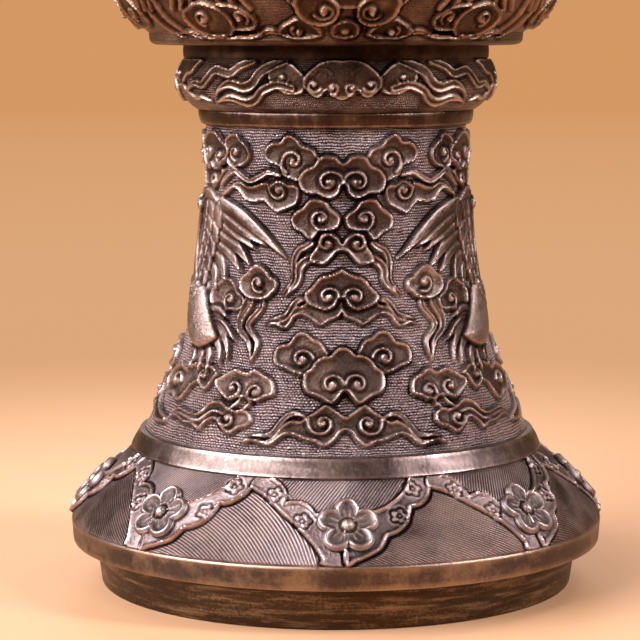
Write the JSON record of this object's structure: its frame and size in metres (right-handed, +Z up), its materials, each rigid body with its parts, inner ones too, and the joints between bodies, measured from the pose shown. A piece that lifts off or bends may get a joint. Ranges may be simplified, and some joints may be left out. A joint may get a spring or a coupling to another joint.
{
  "type": "bronze flower vase",
  "caption": "Tall bronze beaker vase with a flanged foot, flared column, round middle bulb and trumpet neck, cast with cranes, clouds and plum blossoms.",
  "frame": {"origin": "centre of the foot ring's underside, on the table", "axes": "+Z up along the vase's axis; the front, between two cranes, faces -Y"},
  "size_m": [0.18, 0.18, 0.3674],
  "materials": {
    "cast_bronze": "satin, dark brown patina over a fine punched ground",
    "worn_bronze": "smooth, rubbed lighter on the raised edges",
    "foot_bronze": "satin brown with fine turning scratches",
    "hidden_bronze": "rough, dull and dark"
  },
  "bodies": {
    "root": {"foot_ring": "foot_bronze", "base_plate": "hidden_bronze", "foot_skirt": "cast_bronze", "skirt_band": "worn_bronze", "column": "cast_bronze", "column_ring": "worn_bronze", "lower_collar": "cast_bronze", "vessel_floor": "hidden_bronze", "bulb": "cast_bronze", "upper_collar": "cast_bronze", "neck_ring": "worn_bronze", "neck": "cast_bronze", "mouth_band": "worn_bronze", "mouth_flare": "cast_bronze", "skirt_blossom_1": "worn_bronze", "skirt_blossom_2": "worn_bronze", "skirt_blossom_3": "worn_bronze", "skirt_blossom_4": "worn_bronze", "skirt_blossom_5": "worn_bronze", "skirt_blossom_6": "worn_bronze", "skirt_blossom_7": "worn_bronze", "skirt_blossom_8": "worn_bronze", "mouth_blossom_1": "worn_bronze", "mouth_blossom_2": "worn_bronze", "mouth_blossom_3": "worn_bronze", "mouth_blossom_4": "worn_bronze", "mouth_blossom_5": "worn_bronze", "mouth_blossom_6": "worn_bronze", "mouth_blossom_7": "worn_bronze", "mouth_blossom_8": "worn_bronze"}
  },
  "joints": []
}
